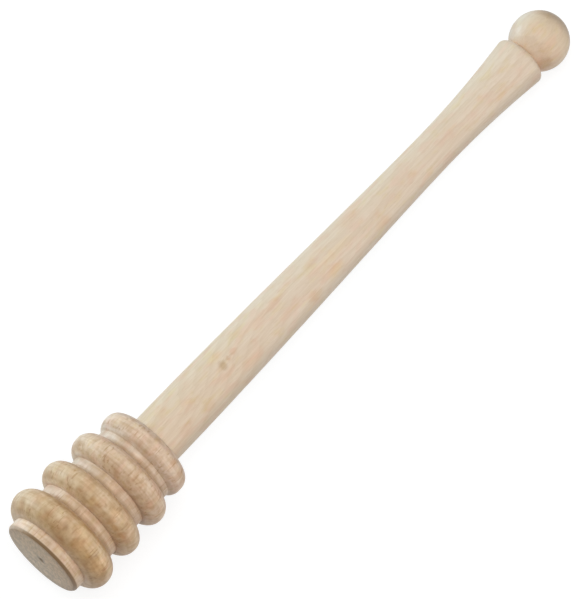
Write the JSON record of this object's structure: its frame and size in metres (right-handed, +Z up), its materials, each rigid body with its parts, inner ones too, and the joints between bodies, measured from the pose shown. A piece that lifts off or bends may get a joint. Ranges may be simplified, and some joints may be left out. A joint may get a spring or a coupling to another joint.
{
  "type": "honey dipper",
  "caption": "Turned wooden honey dipper with a grooved head, a slender tapering handle that flares towards its far end, and a small end ball.",
  "frame": {"origin": "under the middle of the outline, on the surface the dipper lies on", "axes": "+X from the grooved head to the ball along the length, +Z up; the dipper's own axis leans 2.48 degrees down towards the ball, because it rests on its widest rib and the ball"},
  "size_m": [0.1604, 0.0256, 0.0257],
  "materials": {
    "head_wood": "bare sanded beech, end grain on the rib flanks",
    "handle_wood": "bare sanded beech, pale long grain",
    "ball_wood": "bare sanded beech",
    "glue": "cured wood glue"
  },
  "bodies": {
    "root": {"head": "head_wood", "handle": "handle_wood", "end_ball": "ball_wood", "head_glue": "glue", "ball_glue": "glue"}
  },
  "joints": []
}
